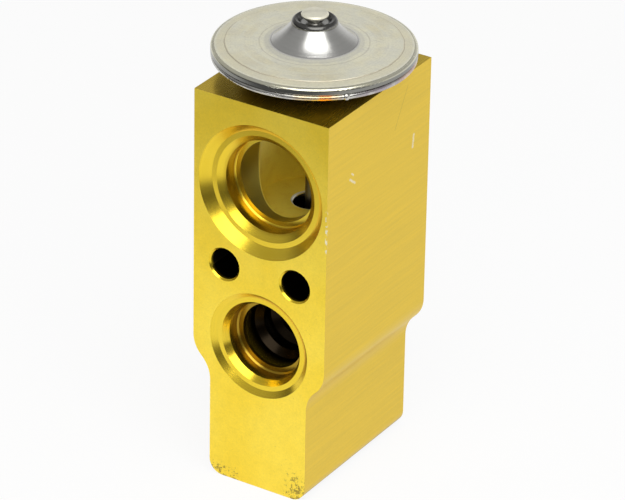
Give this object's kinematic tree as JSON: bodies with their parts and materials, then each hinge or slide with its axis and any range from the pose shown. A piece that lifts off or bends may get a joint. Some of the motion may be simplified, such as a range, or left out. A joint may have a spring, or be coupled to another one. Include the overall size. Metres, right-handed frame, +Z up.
{
  "type": "refrigerant expansion valve",
  "caption": "Block-type expansion valve for vehicle air conditioning: ported aluminium block with a sealed diaphragm head, push rod, ball valve, spring and setting screw.",
  "frame": {"origin": "on the valve's axis in the plane of the block's foot", "axes": "+Z up the valve's axis to the head, -Y out of the front ports, +X to the right of the front face"},
  "size_m": [0.0396, 0.0396, 0.0954],
  "materials": {
    "gold_chromate": "extruded and machined aluminium with a yellow chromate coating",
    "head_steel": "pressed stainless sheet, satin, polished on the cone",
    "weld_bead": "fused bead with heat tints",
    "pin_steel": "ground stainless rod",
    "ball_steel": "polished bearing ball",
    "spring_steel": "drawn spring wire",
    "brass": "turned brass",
    "black_rubber": "moulded O-ring rubber"
  },
  "bodies": {
    "housing": {"valve_block": "gold_chromate", "head_base": "head_steel", "head_cap": "head_steel", "charge_plug": "head_steel", "rim_weld": "weld_bead", "diaphragm": "head_steel", "head_seal": "black_rubber", "rod_seal": "black_rubber", "seal_retainer": "spring_steel", "superheat_spring": "spring_steel"},
    "valve_pin": {"diaphragm_pad": "brass", "push_rod": "pin_steel", "valve_ball": "ball_steel", "ball_carrier": "brass", "carrier_damper": "spring_steel"},
    "screw_ring": {"screw_seal": "black_rubber"},
    "screw": {"adjusting_screw": "brass"}
  },
  "joints": [
    {"name": "valve_lift", "type": "slide", "parent": "housing", "child": "valve_pin", "axis": [0, 0, 1], "range_m": [0, 0.00078], "stiffness_N_per_m": 1000, "springref_m": -0.003, "deforming": ["superheat_spring", "diaphragm"]},
    {"name": "screw_travel", "type": "slide", "parent": "housing", "child": "screw_ring", "axis": [0, 0, 1], "range_m": [-0.0005, 0.002], "deforming": ["superheat_spring"]},
    {"name": "screw_turn", "type": "hinge", "parent": "screw_ring", "child": "screw", "pos_m": [0, 0, 0.004], "axis": [0, 0, 1], "range_deg": [-181, 721]}
  ],
  "couplings": [
    {"joint": "screw_turn", "follows": "screw_travel", "rad_per_m": 6283.2}
  ]
}
